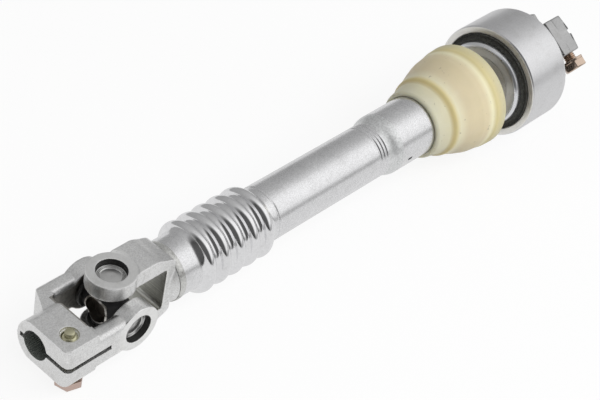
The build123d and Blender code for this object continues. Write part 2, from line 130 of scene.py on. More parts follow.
def surface_group():
    """Grain, soft clouding, small stains and a painted highlight on sharp edges that all the metal
    finishes share
    """
    group = bpy.data.node_groups.new("plated_steel_surface", "ShaderNodeTree")
    group_socket(group, "Tone", "NodeSocketColor", "INPUT", (0.7, 0.7, 0.7, 1))
    group_socket(group, "Stain", "NodeSocketColor", "INPUT", (0.4, 0.38, 0.34, 1))
    group_socket(group, "Stain Amount", "NodeSocketFloat", "INPUT", 0.2)
    group_socket(group, "Grain Size", "NodeSocketFloat", "INPUT", 900.0)
    group_socket(group, "Cloud", "NodeSocketFloat", "INPUT", 0.12)
    group_socket(group, "Speckle", "NodeSocketFloat", "INPUT", 0.05)
    group_socket(group, "Painted Edge Highlight", "NodeSocketFloat", "INPUT", 0.0)
    group_socket(group, "Rough", "NodeSocketFloat", "INPUT", 0.3)
    group_socket(group, "Rough Spread", "NodeSocketFloat", "INPUT", 0.1)
    group_socket(group, "Stretch", "NodeSocketVector", "INPUT", (1, 1, 1))
    group_socket(group, "Color", "NodeSocketColor", "OUTPUT")
    group_socket(group, "Roughness", "NodeSocketFloat", "OUTPUT")
    group_socket(group, "Height", "NodeSocketFloat", "OUTPUT")
    nodes, links = group.nodes, group.links
    inlet = nodes.new("NodeGroupInput")
    outlet = nodes.new("NodeGroupOutput")
    coord = nodes.new("ShaderNodeTexCoord")
    stretch = nodes.new("ShaderNodeVectorMath")
    stretch.operation = "MULTIPLY"
    links.new(coord.outputs["Object"], stretch.inputs[0])
    links.new(inlet.outputs["Stretch"], stretch.inputs[1])
    grain = nodes.new("ShaderNodeTexNoise")
    grain.inputs["Detail"].default_value = 3
    grain.inputs["Roughness"].default_value = 0.6
    links.new(stretch.outputs[0], grain.inputs["Vector"])
    links.new(inlet.outputs["Grain Size"], grain.inputs["Scale"])
    cloud = nodes.new("ShaderNodeTexNoise")
    cloud.inputs["Scale"].default_value = 70
    cloud.inputs["Detail"].default_value = 5
    cloud.inputs["Roughness"].default_value = 0.65
    links.new(coord.outputs["Object"], cloud.inputs["Vector"])
    stain = nodes.new("ShaderNodeTexNoise")
    stain.inputs["Scale"].default_value = 160
    stain.inputs["Detail"].default_value = 6
    stain.inputs["Roughness"].default_value = 0.7
    links.new(coord.outputs["Object"], stain.inputs["Vector"])
    stain_cut = nodes.new("ShaderNodeMapRange")
    stain_cut.inputs["From Min"].default_value = 0.52
    stain_cut.inputs["From Max"].default_value = 0.78
    links.new(stain.outputs["Fac"], stain_cut.inputs["Value"])
    stain_share = nodes.new("ShaderNodeMath")
    stain_share.operation = "MULTIPLY"
    links.new(stain_cut.outputs["Result"], stain_share.inputs[0])
    links.new(inlet.outputs["Stain Amount"], stain_share.inputs[1])
    cloud_low = nodes.new("ShaderNodeMath")
    cloud_low.operation = "SUBTRACT"
    cloud_low.inputs[1].default_value = 0.5
    links.new(cloud.outputs["Fac"], cloud_low.inputs[0])
    cloud_share = nodes.new("ShaderNodeMath")
    cloud_share.operation = "MULTIPLY_ADD"
    links.new(cloud_low.outputs[0], cloud_share.inputs[0])
    links.new(inlet.outputs["Cloud"], cloud_share.inputs[1])
    speckle_low = nodes.new("ShaderNodeMath")
    speckle_low.operation = "SUBTRACT"
    speckle_low.inputs[1].default_value = 0.5
    links.new(grain.outputs["Fac"], speckle_low.inputs[0])
    speckle_share = nodes.new("ShaderNodeMath")
    speckle_share.operation = "MULTIPLY_ADD"
    speckle_share.inputs[2].default_value = 1.0
    links.new(speckle_low.outputs[0], speckle_share.inputs[0])
    links.new(inlet.outputs["Speckle"], speckle_share.inputs[1])
    links.new(speckle_share.outputs[0], cloud_share.inputs[2])
    # Painted highlight: sharp convex edges, found by their pointiness, are made lighter.
    form = nodes.new("ShaderNodeNewGeometry")
    painted_edge_highlight = nodes.new("ShaderNodeMapRange")
    painted_edge_highlight.inputs["From Min"].default_value = 0.52
    painted_edge_highlight.inputs["From Max"].default_value = 0.60
    links.new(form.outputs["Pointiness"], painted_edge_highlight.inputs["Value"])
    edge_highlight_share = nodes.new("ShaderNodeMath")
    edge_highlight_share.operation = "MULTIPLY_ADD"
    links.new(painted_edge_highlight.outputs["Result"], edge_highlight_share.inputs[0])
    links.new(inlet.outputs["Painted Edge Highlight"], edge_highlight_share.inputs[1])
    links.new(cloud_share.outputs[0], edge_highlight_share.inputs[2])
    toned = nodes.new("ShaderNodeVectorMath")
    toned.operation = "SCALE"
    links.new(inlet.outputs["Tone"], toned.inputs[0])
    links.new(edge_highlight_share.outputs[0], toned.inputs["Scale"])
    mixed = nodes.new("ShaderNodeMix")
    mixed.data_type = "RGBA"
    links.new(stain_share.outputs[0], mixed.inputs["Factor"])
    links.new(toned.outputs[0], mixed.inputs["A"])
    links.new(inlet.outputs["Stain"], mixed.inputs["B"])
    links.new(mixed.outputs["Result"], outlet.inputs["Color"])
    spread = nodes.new("ShaderNodeMath")
    spread.operation = "MULTIPLY"
    links.new(cloud_low.outputs[0], spread.inputs[0])
    links.new(inlet.outputs["Rough Spread"], spread.inputs[1])
    rough = nodes.new("ShaderNodeMath")
    rough.operation = "ADD"
    rough.use_clamp = True
    links.new(spread.outputs[0], rough.inputs[0])
    links.new(inlet.outputs["Rough"], rough.inputs[1])
    links.new(rough.outputs[0], outlet.inputs["Roughness"])
    links.new(grain.outputs["Fac"], outlet.inputs["Height"])
    return group


plated_surface = surface_group()


def steel(name, tone, rough, stain=(0.4, 0.38, 0.34), stain_amount=0.2, grain=900.0,
          depth=0.00001, cloud=0.12, spread=0.1, stretch=(1, 1, 1), metallic=1.0,
          speckle=0.06, painted_edge_highlight=0.0):
    """A plated or bare steel finish"""
    material = bpy.data.materials.new(name)
    material.use_nodes = True
    nodes, links = material.node_tree.nodes, material.node_tree.links
    shader = nodes["Principled BSDF"]
    shader.inputs["Metallic"].default_value = metallic
    surface = nodes.new("ShaderNodeGroup")
    surface.node_tree = plated_surface
    surface.inputs["Tone"].default_value = (*tone, 1)
    surface.inputs["Stain"].default_value = (*stain, 1)
    surface.inputs["Stain Amount"].default_value = stain_amount
    surface.inputs["Grain Size"].default_value = grain
    surface.inputs["Cloud"].default_value = cloud
    surface.inputs["Speckle"].default_value = speckle
    surface.inputs["Painted Edge Highlight"].default_value = painted_edge_highlight
    surface.inputs["Rough"].default_value = rough
    surface.inputs["Rough Spread"].default_value = spread
    surface.inputs["Stretch"].default_value = stretch
    links.new(surface.outputs["Color"], shader.inputs["Base Color"])
    links.new(surface.outputs["Roughness"], shader.inputs["Roughness"])
    bump = nodes.new("ShaderNodeBump")
    bump.inputs["Distance"].default_value = depth
    bump.inputs["Strength"].default_value = 1.0
    links.new(surface.outputs["Height"], bump.inputs["Height"])
    links.new(bump.outputs["Normal"], shader.inputs["Normal"])
    return material


tube_steel = steel("bright_tube_zinc", (0.83, 0.83, 0.84), 0.25, stain=(0.44, 0.44, 0.43),
                   stain_amount=0.30, grain=1300.0, depth=0.00001, cloud=0.22, speckle=0.55)

tube_outline = [(38.4, 14.2), (38.4, tube_r)]
tube_outline += [(47.6, tube_r), (48.6, 16.12), (49.5, 16.5)]
for centre in crash_centres:
    tube_outline += arc(centre, 17.2, 3.1, 162, 18, 18)
    if centre != crash_centres[-1]:
        tube_outline += arc(centre + crash_pitch / 2, 18.9, 2.5, 196, 344, 12)
last = crash_centres[-1]
tube_outline += [(last + 4.9, 16.5), (last + 5.8, 16.12), (last + 6.8, tube_r)]
tube_outline += [(106.4, tube_r), (106.9, tube_r), (107.3, 15.7), (107.8, 15.7)]
tube_outline += [(108.2, tube_r), (108.7, tube_r), (187.0, tube_r), (189.3, tube_r)]
for i in range(3 * groove_points + 1):
    share = i / groove_points
    dip = groove_depth / 2 * (1 - math.cos(2 * math.pi * share))
    tube_outline.append((groove_start + groove_pitch * share, tube_r - dip))
tube_outline += [(198.0, 16.02), (199.2, 16.12), (200.6, 16.45), (202.0, 17.0), (203.4, 17.5)]
tube_outline += [(204.8, 17.86), (206.2, 18.0), (208.0, big_r)]
tube_outline += [(slot_start, big_r), (slot_end, big_r)]
tube_outline += [(306.5, big_r)]
tube_outline += [(306.5, 16.2), (206.0, 16.2), (198.0, 14.2)]
flare_steel = steel("flare_zinc", (0.84, 0.85, 0.85), 0.42, stain=(0.56, 0.57, 0.56),
                    stain_amount=0.4, grain=900.0, depth=0.00003, cloud=0.2, speckle=1.0)
crash_steel = steel("crash_ring_zinc", (0.86, 0.86, 0.87), 0.13, stain=(0.40, 0.39, 0.37),
                    stain_amount=0.25, grain=900.0, depth=0.000004, cloud=0.2, speckle=0.2)
# Painted shade: the faces of the punched slot are near black, standing in for the shade inside the
# small slot.
slot_painted_shade = steel("punched_slot_painted_shade", (0.10, 0.10, 0.10), 0.5, stain=(0.2, 0.19, 0.17),
                   stain_amount=0.3, metallic=0.5)
bm = turned(tube_outline, fine_turn)
slot_faces = []
for face in bm.faces:
    middle = face.calc_center_median()
    if flare_start < middle.x < flare_end:
        face.material_index = 1
    elif crash_start < middle.x < crash_end:
        face.material_index = 2
    outside = middle.yz.length > big_r - 0.1 and middle.y < 0
    in_slot = slot_start < middle.x < slot_end and abs(middle.z - slot_middle_z) < slot_half
    if outside and in_slot:
        slot_faces.append(face)
punched = bmesh.ops.extrude_face_region(bm, geom=slot_faces)
pressed = [g for g in punched["geom"] if isinstance(g, bmesh.types.BMVert)]
bmesh.ops.translate(bm, vec=(0, slot_depth, 0), verts=pressed)
bmesh.ops.delete(bm, geom=slot_faces, context="FACES")
for face in {face for vert in pressed for face in vert.link_faces}:
    face.material_index = 3
piece = finished("shaft_tube_skin", bm, "shaft", tube_steel, ["shaft_tube"],
                 sharp=60)
for finish in (flare_steel, crash_steel, slot_painted_shade):
    piece.data.materials.append(finish)

# Weld beads
# A narrow bead of plated weld metal joins each tube yoke's collar to the tube. It is run
# round while the shaft turns, so it keeps an even width with a slight ripple.
bead_height = 0.33
weld_steel = steel("weld_zinc", (0.72, 0.72, 0.70), 0.36, stain=(0.10, 0.09, 0.08),
                   stain_amount=0.9, grain=1500.0, depth=0.00008, cloud=0.4, speckle=0.8)
for name, body_r, start, end, replaced in (
    ("front_weld_skin", tube_r, 34.5, 38.5, "front_weld_bead"),
    ("rear_weld_skin", big_r, 306.5, 308.5, "rear_weld_bead"),
):
    bead = [(start, body_r - 1.9)]
    bead += [
        (start + (end - start) * k / 10, body_r + bead_height * math.sin(math.pi * k / 10))
        for k in range(11)
    ]
    bead += [(end, body_r - 1.9)]
    bm = turned(bead, fine_turn)
    for v in bm.verts:
        turn = math.atan2(v.co.z, v.co.y)
        away = math.hypot(v.co.y, v.co.z)
        if away > body_r - 0.5:
            grow = 1 + 0.0035 * math.sin(29 * turn + 2.2 * math.sin(5 * turn))
            v.co.y *= grow
            v.co.z *= grow
    finished(name, bm, "shaft", weld_steel, [replaced], sharp=70)

# Bell boot
# A soft cream plastic bell with a thick neck on the tube and a stepped skirt that is open to the
# rear. Its colour changes in bands along its length, darker and yellower on the step faces and
# towards the rim, and painted shade darkens its lower side. The skin lets some light through.
boot_outline = softened(
    [
        (235.5, 18.12), (235.5, 19.7), (236.8, 20.7), (245.8, 22.4), (247.4, 23.3), (248.8, 24.4),
        (251.6, 24.9), (255.0, 25.8), (260.8, 27.9), (267.2, 29.9), (273.4, 30.7), (276.4, 30.9),
        (278.4, 31.6), (285.2, 32.0), (285.7, 31.6), (285.5, 30.4), (278.7, 29.9), (273.2, 29.1),
        (267.4, 28.3), (261.2, 26.4), (255.4, 24.3), (249.6, 22.9), (246.6, 21.0), (245.0, 20.4),
        (245.0, 18.08),
    ],
    1.1,
)
boot_plastic = bpy.data.materials.new("cream_boot_skin")
boot_plastic.use_nodes = True
nodes, links = boot_plastic.node_tree.nodes, boot_plastic.node_tree.links
shader = nodes["Principled BSDF"]
shader.inputs["Subsurface Weight"].default_value = 0.25
shader.inputs["Subsurface Radius"].default_value = (0.006, 0.005, 0.003)
shader.inputs["Subsurface Scale"].default_value = 0.6
shader.inputs["Specular IOR Level"].default_value = 0.35
coord = nodes.new("ShaderNodeTexCoord")
parted = nodes.new("ShaderNodeSeparateXYZ")
links.new(coord.outputs["Object"], parted.inputs[0])
band = nodes.new("ShaderNodeMapRange")
band.inputs["From Min"].default_value = (225.0 + cross_x) * mm
band.inputs["From Max"].default_value = (290.0 + cross_x) * mm
links.new(parted.outputs["X"], band.inputs["Value"])
ramp = nodes.new("ShaderNodeValToRGB")
ramp.color_ramp.elements[0].color = (0.60, 0.57, 0.42, 1)
ramp.color_ramp.elements[1].color = (0.55, 0.51, 0.34, 1)
for spot, colour in (
    (0.18, (0.62, 0.60, 0.46)),
    (0.31, (0.66, 0.62, 0.44)),
    (0.345, (0.60, 0.50, 0.25)),
    (0.37, (0.66, 0.57, 0.30)),
    (0.41, (0.74, 0.69, 0.50)),
    (0.50, (0.69, 0.60, 0.41)),
    (0.70, (0.69, 0.60, 0.40)),
    (0.76, (0.80, 0.75, 0.53)),
    (0.81, (0.66, 0.58, 0.31)),
    (0.85, (0.62, 0.55, 0.31)),
    (0.90, (0.58, 0.54, 0.35)),
):
    ramp.color_ramp.elements.new(spot).color = (*colour, 1)
links.new(band.outputs["Result"], ramp.inputs["Fac"])
mottle = nodes.new("ShaderNodeTexNoise")
mottle.inputs["Scale"].default_value = 55
mottle.inputs["Detail"].default_value = 4
links.new(coord.outputs["Object"], mottle.inputs["Vector"])
mottle_share = nodes.new("ShaderNodeMapRange")
mottle_share.inputs["To Min"].default_value = 0.90
mottle_share.inputs["To Max"].default_value = 1.10
links.new(mottle.outputs["Fac"], mottle_share.inputs["Value"])
# Painted shade: the bell's colour is scaled down towards its lower side, to 0.72 of it at the
# bottom.
painted_underside_shade = nodes.new("ShaderNodeMapRange")
painted_underside_shade.inputs["From Min"].default_value = -30.0 * mm
painted_underside_shade.inputs["From Max"].default_value = 2.0 * mm
painted_underside_shade.inputs["To Min"].default_value = 0.72
painted_underside_shade.inputs["To Max"].default_value = 1.0
links.new(parted.outputs["Z"], painted_underside_shade.inputs["Value"])
mottle_and_painted_shade = nodes.new("ShaderNodeMath")
mottle_and_painted_shade.operation = "MULTIPLY"
links.new(mottle_share.outputs["Result"], mottle_and_painted_shade.inputs[0])
links.new(painted_underside_shade.outputs["Result"], mottle_and_painted_shade.inputs[1])
boot_tone = nodes.new("ShaderNodeVectorMath")
boot_tone.operation = "SCALE"
links.new(ramp.outputs["Color"], boot_tone.inputs[0])
links.new(mottle_and_painted_shade.outputs[0], boot_tone.inputs["Scale"])
specks = nodes.new("ShaderNodeTexNoise")
specks.inputs["Scale"].default_value = 420
specks.inputs["Detail"].default_value = 2
links.new(coord.outputs["Object"], specks.inputs["Vector"])
speck_cut = nodes.new("ShaderNodeMapRange")
speck_cut.inputs["From Min"].default_value = 0.70
speck_cut.inputs["From Max"].default_value = 0.78
speck_cut.inputs["To Max"].default_value = 0.7
links.new(specks.outputs["Fac"], speck_cut.inputs["Value"])
boot_mix = nodes.new("ShaderNodeMix")
boot_mix.data_type = "RGBA"
boot_mix.inputs["B"].default_value = (0.30, 0.25, 0.17, 1)
links.new(speck_cut.outputs["Result"], boot_mix.inputs["Factor"])
links.new(boot_tone.outputs[0], boot_mix.inputs["A"])
links.new(boot_mix.outputs["Result"], shader.inputs["Base Color"])
boot_rough = nodes.new("ShaderNodeMapRange")
boot_rough.inputs["To Min"].default_value = 0.36
boot_rough.inputs["To Max"].default_value = 0.52
links.new(mottle.outputs["Fac"], boot_rough.inputs["Value"])
links.new(boot_rough.outputs["Result"], shader.inputs["Roughness"])
boot_grain = nodes.new("ShaderNodeTexNoise")
boot_grain.inputs["Scale"].default_value = 300
boot_grain.inputs["Detail"].default_value = 3
links.new(coord.outputs["Object"], boot_grain.inputs["Vector"])
boot_bump = nodes.new("ShaderNodeBump")
boot_bump.inputs["Distance"].default_value = 0.00006
links.new(boot_grain.outputs["Fac"], boot_bump.inputs["Height"])
links.new(boot_bump.outputs["Normal"], shader.inputs["Normal"])
bm = turned(boot_outline, fine_turn)
finished("bell_boot_skin", bm, "shaft", boot_plastic, ["bell_boot"], sharp=60)

# Rubber mounted ring
# A drawn steel sleeve with a flange sits on the tube. A black rubber ring is bonded
# on it and carries a thick zinc plated steel ring round the rear joint.
sleeve_steel = steel("sleeve_zinc", (0.84, 0.85, 0.87), 0.28, stain_amount=0.2, grain=700.0)
# Painted light and reflection: the flange face inside the sleeve's lip is a brighter, less
# metallic, tan tinted copy of the zinc, for the light it catches and the cream boot it mirrors.
flange_painted_light = steel("flange_zinc_painted_light", (0.96, 0.95, 0.89), 0.42, stain=(0.44, 0.41, 0.35),
                     stain_amount=0.4, grain=700.0, metallic=0.5)
sleeve_outline = softened(
    [
        (304.6, 18.05), (304.6, 23.6), (303.2, 24.0), (302.7, 24.7), (303.1, 25.5), (304.6, 26.4),
        (306.2, 26.7), (326.0, 26.7), (326.0, 25.3), (306.4, 25.3), (306.4, 18.05),
    ],
    0.35,
    3,
)
bm = turned(sleeve_outline, fine_turn)
# Faces across the axis inside the lip take the painted light finish.
for face in bm.faces:
    if abs(face.normal.x) > 0.7 and face.calc_center_median().yz.length < 23.9:
        face.material_index = 1
piece = finished("damper_sleeve_skin", bm, "shaft", sleeve_steel,
                 ["damper_inner_sleeve"])
piece.data.materials.append(flange_painted_light)

ring_rubber = bpy.data.materials.new("black_ring_rubber_skin")
ring_rubber.use_nodes = True
nodes, links = ring_rubber.node_tree.nodes, ring_rubber.node_tree.links
shader = nodes["Principled BSDF"]
coord = nodes.new("ShaderNodeTexCoord")
pores = nodes.new("ShaderNodeTexNoise")
pores.inputs["Scale"].default_value = 900
pores.inputs["Detail"].default_value = 4
links.new(coord.outputs["Object"], pores.inputs["Vector"])
pore_ramp = nodes.new("ShaderNodeValToRGB")
pore_ramp.color_ramp.elements[0].position = 0.3
pore_ramp.color_ramp.elements[0].color = (0.022, 0.022, 0.020, 1)
pore_ramp.color_ramp.elements[1].position = 0.75
pore_ramp.color_ramp.elements[1].color = (0.110, 0.112, 0.100, 1)
links.new(pores.outputs["Fac"], pore_ramp.inputs["Fac"])
links.new(pore_ramp.outputs["Color"], shader.inputs["Base Color"])
pore_rough = nodes.new("ShaderNodeMapRange")
pore_rough.inputs["To Min"].default_value = 0.62
pore_rough.inputs["To Max"].default_value = 0.9
links.new(pores.outputs["Fac"], pore_rough.inputs["Value"])
links.new(pore_rough.outputs["Result"], shader.inputs["Roughness"])
pore_bump = nodes.new("ShaderNodeBump")
pore_bump.inputs["Distance"].default_value = 0.00015
links.new(pores.outputs["Fac"], pore_bump.inputs["Height"])
links.new(pore_bump.outputs["Normal"], shader.inputs["Normal"])
rubber_front, rubber_back = 307.3, 325.4
rubber_outline = [(rubber_back, 26.75), (rubber_front, 26.75)]
rubber_outline += [(307.4 + 0.9 * math.sin(math.pi * k / 8), 27.0 + 3.5 * k / 8) for k in range(9)]
rubber_outline += [(rubber_front, 30.7), (rubber_back, 30.7)]
bm = turned(rubber_outline, fine_turn)
finished("rubber_ring_skin", bm, "shaft", ring_rubber, ["damper_rubber_ring"])

ring_steel = steel("ring_zinc", (0.78, 0.78, 0.79), 0.33, stain_amount=0.22, grain=1200.0,
                   depth=0.00001, cloud=0.14, speckle=0.3)
# Painted light: the ring's forward-facing front face is a brighter, less metallic, slightly beige
# copy of the zinc, for the light it catches.
ring_face_painted_light = steel("ring_face_zinc_painted_light", (0.95, 0.94, 0.90), 0.34, stain=(0.62, 0.60, 0.54),
                        stain_amount=0.4, grain=700.0, metallic=0.7)
ring_outline = softened(
    [(308.5, 30.75), (308.5, 34.6), (309.3, 35.4), (341.5, 35.4), (343.5, 33.4), (343.5, 30.75)],
    1.0,
    6,
)
bm = turned(ring_outline, 224)
# Faces looking forward take the painted light finish.
for face in bm.faces:
    if face.normal.x < -0.8:
        face.material_index = 1
piece = finished("outer_ring_skin", bm, "shaft", ring_steel,
                 ["damper_outer_ring"])
piece.data.materials.append(ring_face_painted_light)

# Yokes
# Four steel forgings, zinc plated, with soft forged edges and a fine cast grain. The ear
# faces, the cup bores and the splined clamp bores are machined into them afterwards.
# The forged finish carries a painted highlight on its sharp edges.
forged_steel = steel("forged_zinc", (0.86, 0.86, 0.855), 0.38, stain=(0.42, 0.41, 0.39),
                     stain_amount=0.40, grain=1300.0, depth=0.00005, cloud=0.22, spread=0.16,
                     speckle=0.8, painted_edge_highlight=0.55)
machined_steel = steel("machined_zinc", (0.93, 0.93, 0.92), 0.32, stain=(0.50, 0.48, 0.44),
                       stain_amount=0.30, grain=700.0, depth=0.00001, cloud=0.20, speckle=0.2)
satin_steel = steel("satin_zinc", (0.47, 0.47, 0.47), 0.33, stain=(0.30, 0.29, 0.27),
                    stain_amount=0.35, grain=900.0, depth=0.00002, cloud=0.5, speckle=0.35)
# Partly painted shade, partly real mottling: the inner faces between the clamp yoke's ears are
# much darker than the forged skin, for the shade between the arms, on a rough, heavily mottled
# forging skin.
window_shade_and_mottle = steel("window_zinc_shade_and_mottle", (0.50, 0.485, 0.455), 0.42, stain=(0.16, 0.15, 0.13),
                     stain_amount=0.8, grain=500.0, depth=0.00006, cloud=0.8, speckle=1.0)
# Painted shade: the walls of the cup bores above the cups are near black, for the shade down in
# the bores.
cup_bore_painted_shade = steel("cup_bore_wall_painted_shade", (0.055, 0.055, 0.053), 0.42, stain=(0.16, 0.14, 0.11),
                   stain_amount=0.30, grain=900.0, cloud=0.3, metallic=0.6)
spline_steel = steel("spline_bore", (0.26, 0.28, 0.26), 0.5, stain=(0.12, 0.12, 0.11),
                     stain_amount=0.3, grain=900.0, cloud=0.2, metallic=0.4)
throat_steel = steel("milled_throat", (0.74, 0.74, 0.70), 0.34, stain=(0.24, 0.23, 0.20),
                     stain_amount=0.30, grain=420.0, depth=0.0001, cloud=0.3, speckle=1.4,
                     stretch=(0.6, 0.05, 2.6))
cup_bore_r = 8.02
spline_bore_r, tooth_height, tooth_points = 7.7, 0.5, 96
ear_face, ear_r = 22.2, 13.4
edge_passes, lug_passes = 5, 16
rear_turn = math.radians(32.0)
rear_x = 337.0
rear_matrix = Matrix(
    (
        (-1, 0, 0, rear_x),
        (0, -math.cos(rear_turn), -math.sin(rear_turn), 0),
        (0, -math.sin(rear_turn), math.cos(rear_turn), 0),
        (0, 0, 0, 1),
    )
)
joint_places = {"front": Matrix.Identity(4), "rear": rear_matrix}
clamp_bodies = {"front": "front_clamp_body", "rear": "rear_clamp_body"}
cross_bodies = {"front": "front_cross_body", "rear": "rear_cross_body"}


def worked_copy(node, voxel, passes, bosses=()):
    """A copy of a solid, with any bosses, and all its edges softened as a forging's are"""
    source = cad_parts[node]
    bm = bmesh.new()
    bm.from_mesh(source.data)
    for boss in bosses:
        boss_mesh = bpy.data.meshes.new(node + "_boss")
        boss.to_mesh(boss_mesh)
        boss.free()
        bm.from_mesh(boss_mesh)
        bpy.data.meshes.remove(boss_mesh)
    bmesh.ops.remove_doubles(bm, verts=bm.verts, dist=1e-6)
    mesh = bpy.data.meshes.new(node + "_blank")
    bm.to_mesh(mesh)
    bm.free()
    blank = bpy.data.objects.new(node + "_blank", mesh)
    bpy.context.scene.collection.objects.link(blank)
    remesh = blank.modifiers.new("forging", "REMESH")
    remesh.mode = "VOXEL"
    remesh.voxel_size = voxel * mm
    smooth = blank.modifiers.new("edges", "SMOOTH")
    smooth.factor = 0.5
    smooth.iterations = passes
    return blank


def cut_with(blank, cutter_bm, name):
    """Machines a shape out of a blank"""
    mesh = bpy.data.meshes.new(name)
    cutter_bm.to_mesh(mesh)
    cutter_bm.free()
    cutter = bpy.data.objects.new(name, mesh)
    bpy.context.scene.collection.objects.link(cutter)
    cut = blank.modifiers.new(name, "BOOLEAN")
    cut.operation = "DIFFERENCE"
    cut.solver = "EXACT"
    cut.object = cutter
    return cutter


def rod(radius, length, place, count=96, teeth=0.0):
    """A round or toothed bar along Z, centred, then put in its place in millimetres"""
    bm = bmesh.new()
    bmesh.ops.create_circle(bm, cap_ends=True, radius=radius, segments=count)
    if teeth:
        for i, v in enumerate(sorted(bm.verts, key=lambda v: math.atan2(v.co.y, v.co.x))):
            if i % 2:
                v.co.xy *= (radius + teeth) / radius
    whole = bmesh.ops.extrude_face_region(bm, geom=bm.faces[:])
    lifted = [g for g in whole["geom"] if isinstance(g, bmesh.types.BMVert)]
    bmesh.ops.translate(bm, vec=(0, 0, length), verts=lifted)
    bmesh.ops.translate(bm, vec=(0, 0, -length / 2), verts=bm.verts)
    bmesh.ops.recalc_face_normals(bm, faces=bm.faces)
    bmesh.ops.transform(bm, matrix=place, verts=bm.verts)
    bmesh.ops.scale(bm, vec=(mm, mm, mm), verts=bm.verts)
    bmesh.ops.translate(bm, vec=(cross_x * mm, 0, 0), verts=bm.verts)
    return bm


def bar(low, high, place):
    """A square bar between two corners, put in its place in millimetres"""
    bm = bmesh.new()
    bmesh.ops.create_cube(bm, size=1)
    size = [b - a for a, b in zip(low, high)]
    bmesh.ops.scale(bm, vec=size, verts=bm.verts)
    bmesh.ops.translate(bm, vec=[(a + b) / 2 for a, b in zip(low, high)], verts=bm.verts)
    bmesh.ops.transform(bm, matrix=place, verts=bm.verts)
    bmesh.ops.scale(bm, vec=(mm, mm, mm), verts=bm.verts)
    bmesh.ops.translate(bm, vec=(cross_x * mm, 0, 0), verts=bm.verts)
    return bm


def tube_yoke_finish(at, facing):
    """Which of the finishes a face of a tube yoke has"""
    # The cup bore walls, which carry the painted shade.
    if math.hypot(at.x, at.y) < 8.3 and abs(at.z) > 13.0 and abs(facing.z) < 0.7:
        return 2
    if abs(at.z) > ear_face and abs(facing.z) > 0.9 and at.x < ear_r:
        return 1
    if abs(at.z) < 13.6 and 8.0 < at.x < 30.0 and math.hypot(at.y, at.z) < 19.0:
        return 4 if facing.x < -0.5 or (abs(facing.z) > 0.5 and facing.z * at.z < 0) else 0
    return 0


def clamp_yoke_finish(at, facing):
    """Which of the finishes a face of a clamp yoke has"""
    # The cup bore walls, which carry the painted shade.
    if math.hypot(at.x, at.z) < 8.3 and abs(at.y) > 13.0 and abs(facing.y) < 0.7:
        return 2
    if abs(at.y) > ear_face and abs(facing.y) > 0.9 and at.x > -ear_r:
        return 1
    if at.x < -22.0 and math.hypot(at.y, at.z) < 8.5 and abs(facing.x) < 0.7:
        return 3
    # The inner faces between the ears, darkened with painted shade.
    if abs(at.y) < 13.5 and abs(at.z) < 12.0 and at.x > -27.0:
        return 5
    return 0


def forged(node, body, place, fineness, cutters, finish_of, bosses=()):
    """Softens a yoke blank, machines it and fixes it to its body"""
    blank = worked_copy(node, fineness, lug_passes if bosses else edge_passes, bosses)
    tools = [cut_with(blank, cutter, f"{node}_tool_{i}") for i, cutter in enumerate(cutters)]
    graph = bpy.context.evaluated_depsgraph_get()
    graph.update()
    mesh = bpy.data.meshes.new_from_object(blank.evaluated_get(graph))
    for tool in tools + [blank]:
        bpy.data.objects.remove(tool)
    mesh.name = node + "_skin"
    mesh.materials.clear()
    skin_steel = satin_steel if body == clamp_bodies["rear"] else forged_steel
    for finish in (
        skin_steel, machined_steel, cup_bore_painted_shade, spline_steel, throat_steel, window_shade_and_mottle,
    ):
        mesh.materials.append(finish)
    back = (Matrix.Translation((cross_x, 0, 0)) @ place).inverted()
    turn_back = back.to_3x3()
    mesh.polygons.foreach_set(
        "material_index",
        [finish_of(back @ (face.center / mm), turn_back @ face.normal) for face in mesh.polygons],
    )
    mesh.polygons.foreach_set("use_smooth", [True] * len(mesh.polygons))
    mesh.set_sharp_from_angle(angle=math.radians(38))
    piece = bpy.data.objects.new(node + "_skin", mesh)
    bpy.context.scene.collection.objects.link(piece)
    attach(piece, body)
    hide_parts(node)


along_x = Matrix.Rotation(math.radians(90), 4, "Y")
along_y = Matrix.Rotation(math.radians(90), 4, "X")
slits = {
    "front": ((-50.0, -30.0, -1.4), (-18.2, 0.0, 1.4)),
    "rear": ((-44.0, -1.4, 0.0), (-35.2, 1.4, 30.0)),
}
lug_grooves = {
    "front": (),
    "rear": (((-36.6, -20.0, 20.3), (-35.6, 20.0, 30.0)),),
}
lug_bridges = {
    "front": (),
    "rear": (((-35.2, -1.6, 7.9), (-20.4, 1.6, 21.2)), ((-27.6, -12.0, 9.0), (-20.4, 12.0, 21.3))),
}
notches = {
    "front": ((-50.0, 0.0, -1.4), (-27.0, 10.8, 1.4)),
    "rear": ((-44.0, -1.4, -2.0), (-24.0, 1.4, 0.0)),
}
mouths = {"front": -46.3, "rear": -40.0}
yoke_fineness = {"front": 0.36, "rear": 0.5}
for end in ("front", "rear"):
    place = joint_places[end]
    forged(
        f"{end}_tube_yoke",
        "shaft",
        place,
        yoke_fineness[end],
        [rod(cup_bore_r, 60, place)],
        tube_yoke_finish,
    )
    bore_place = place @ Matrix.Translation((mouths[end] + 8, 0, 0)) @ along_x
    forged(
        f"{end}_clamp_yoke",
        clamp_bodies[end],
        place,
        yoke_fineness[end],
        [
            rod(cup_bore_r, 60, place @ along_y),
            rod(spline_bore_r, 26, bore_place, tooth_points, tooth_height),
            bar(*slits[end], place),
            bar(*notches[end], place),
        ]
        + [bar(*groove, place) for groove in lug_grooves[end]],
        clamp_yoke_finish,
        [bar(*bridge, place) for bridge in lug_bridges[end]],
    )

